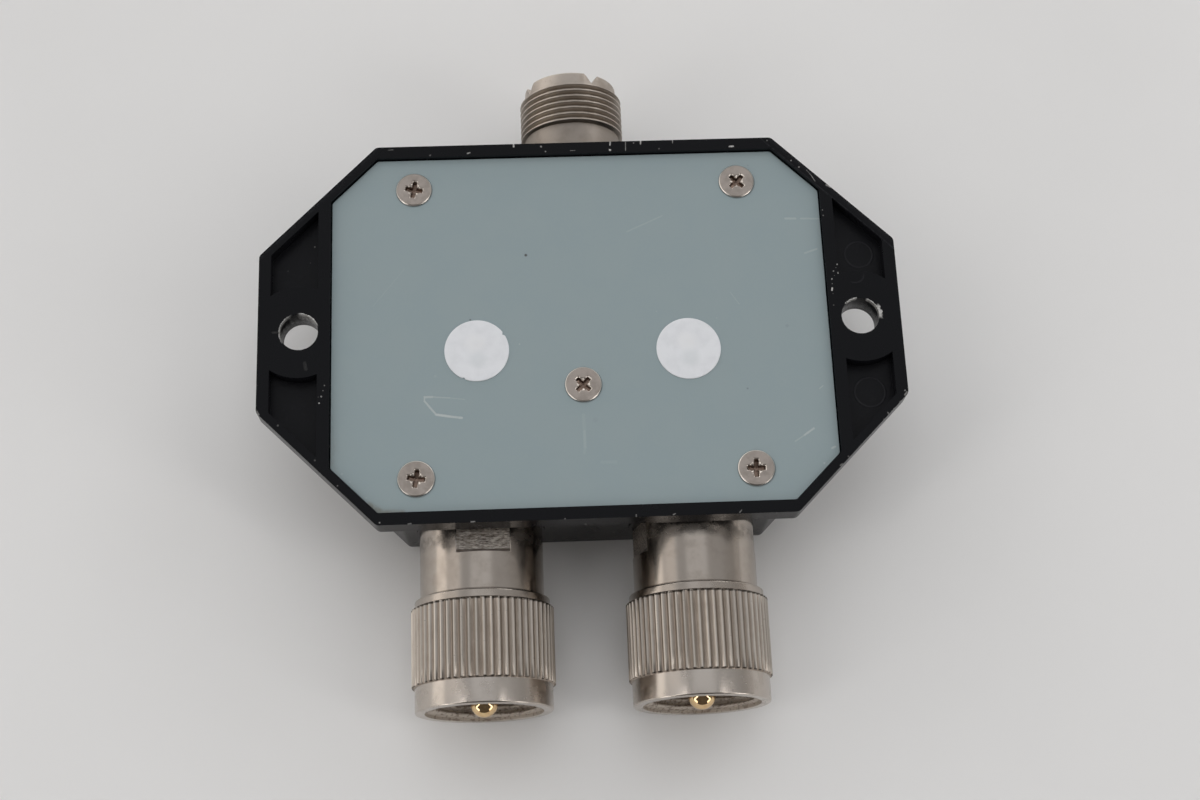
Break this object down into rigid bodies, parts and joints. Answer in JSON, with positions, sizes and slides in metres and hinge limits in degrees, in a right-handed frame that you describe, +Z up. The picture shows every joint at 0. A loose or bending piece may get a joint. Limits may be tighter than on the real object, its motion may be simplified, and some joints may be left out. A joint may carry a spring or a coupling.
{
  "type": "duplexer",
  "caption": "Two-band antenna duplexer: a die-cast box with mounting ears and a screwed cover, with two knurled coaxial plugs on one side and a threaded coaxial socket on the other.",
  "frame": {"origin": "centre of the front face that the case rests on, under the centre of the cover", "axes": "+Z up from the front face to the cover, +Y along the socket's axis away from the case, +X along the case so that the low-band plug is at -X"},
  "size_m": [0.093, 0.0984, 0.024],
  "materials": {
    "case_paint": "black enamel on die-cast metal, slightly glossy, chipped at the edges",
    "cover_paint": "grey enamel, satin",
    "screw_steel": "bright plated steel",
    "seal_film": "white stuck-on film",
    "nickel_plate": "nickel-plated brass",
    "insulator": "off-white fluoropolymer",
    "gold_plate": "gold-plated brass",
    "spring_steel": "spring steel",
    "board": "glass-epoxy laminate",
    "tinned_brass": "tinned brass",
    "copper_wire": "enamelled copper wire",
    "capacitor_coat": "dipped ceramic",
    "trimmer_body": "moulded insulator",
    "trimmer_metal": "silver-plated metal"
  },
  "bodies": {
    "case": {"housing": "case_paint", "cover_plate": "cover_paint", "cover_screws": "screw_steel", "left_tuning_seal": "seal_film", "right_tuning_seal": "seal_film", "socket_shell": "nickel_plate", "socket_insulator": "insulator", "socket_contact": "gold_plate", "socket_lock_washer": "screw_steel", "socket_lock_nut": "nickel_plate", "left_plug_barrel": "nickel_plate", "left_plug_insulator": "insulator", "left_plug_pin": "gold_plate", "left_snap_ring": "spring_steel", "right_plug_barrel": "nickel_plate", "right_plug_insulator": "insulator", "right_plug_pin": "gold_plate", "right_snap_ring": "spring_steel", "circuit_board": "board", "board_screws": "screw_steel", "solder_lugs": "tinned_brass", "low_band_coils": "copper_wire", "high_band_coils": "copper_wire", "low_band_capacitors": "capacitor_coat", "high_band_capacitors": "capacitor_coat", "left_trimmer_base": "trimmer_body", "right_trimmer_base": "trimmer_body"},
    "left_nut": {"left_coupling_nut": "nickel_plate"},
    "right_nut": {"right_coupling_nut": "nickel_plate"},
    "left_rotor": {"left_trimmer_rotor": "trimmer_metal"},
    "right_rotor": {"right_trimmer_rotor": "trimmer_metal"}
  },
  "joints": [
    {"name": "left_nut_spin", "type": "hinge", "parent": "case", "child": "left_nut", "pos_m": [-0.0155, -0.045, 0.0105], "axis": [0, -1, 0], "continuous": true},
    {"name": "right_nut_spin", "type": "hinge", "parent": "case", "child": "right_nut", "pos_m": [0.0155, -0.045, 0.0105], "axis": [0, -1, 0], "continuous": true},
    {"name": "left_trimmer_turn", "type": "hinge", "parent": "case", "child": "left_rotor", "pos_m": [-0.0153, -0.0037, 0.0105], "axis": [0, 0, 1], "continuous": true},
    {"name": "right_trimmer_turn", "type": "hinge", "parent": "case", "child": "right_rotor", "pos_m": [0.0153, -0.0037, 0.0105], "axis": [0, 0, 1], "continuous": true}
  ]
}
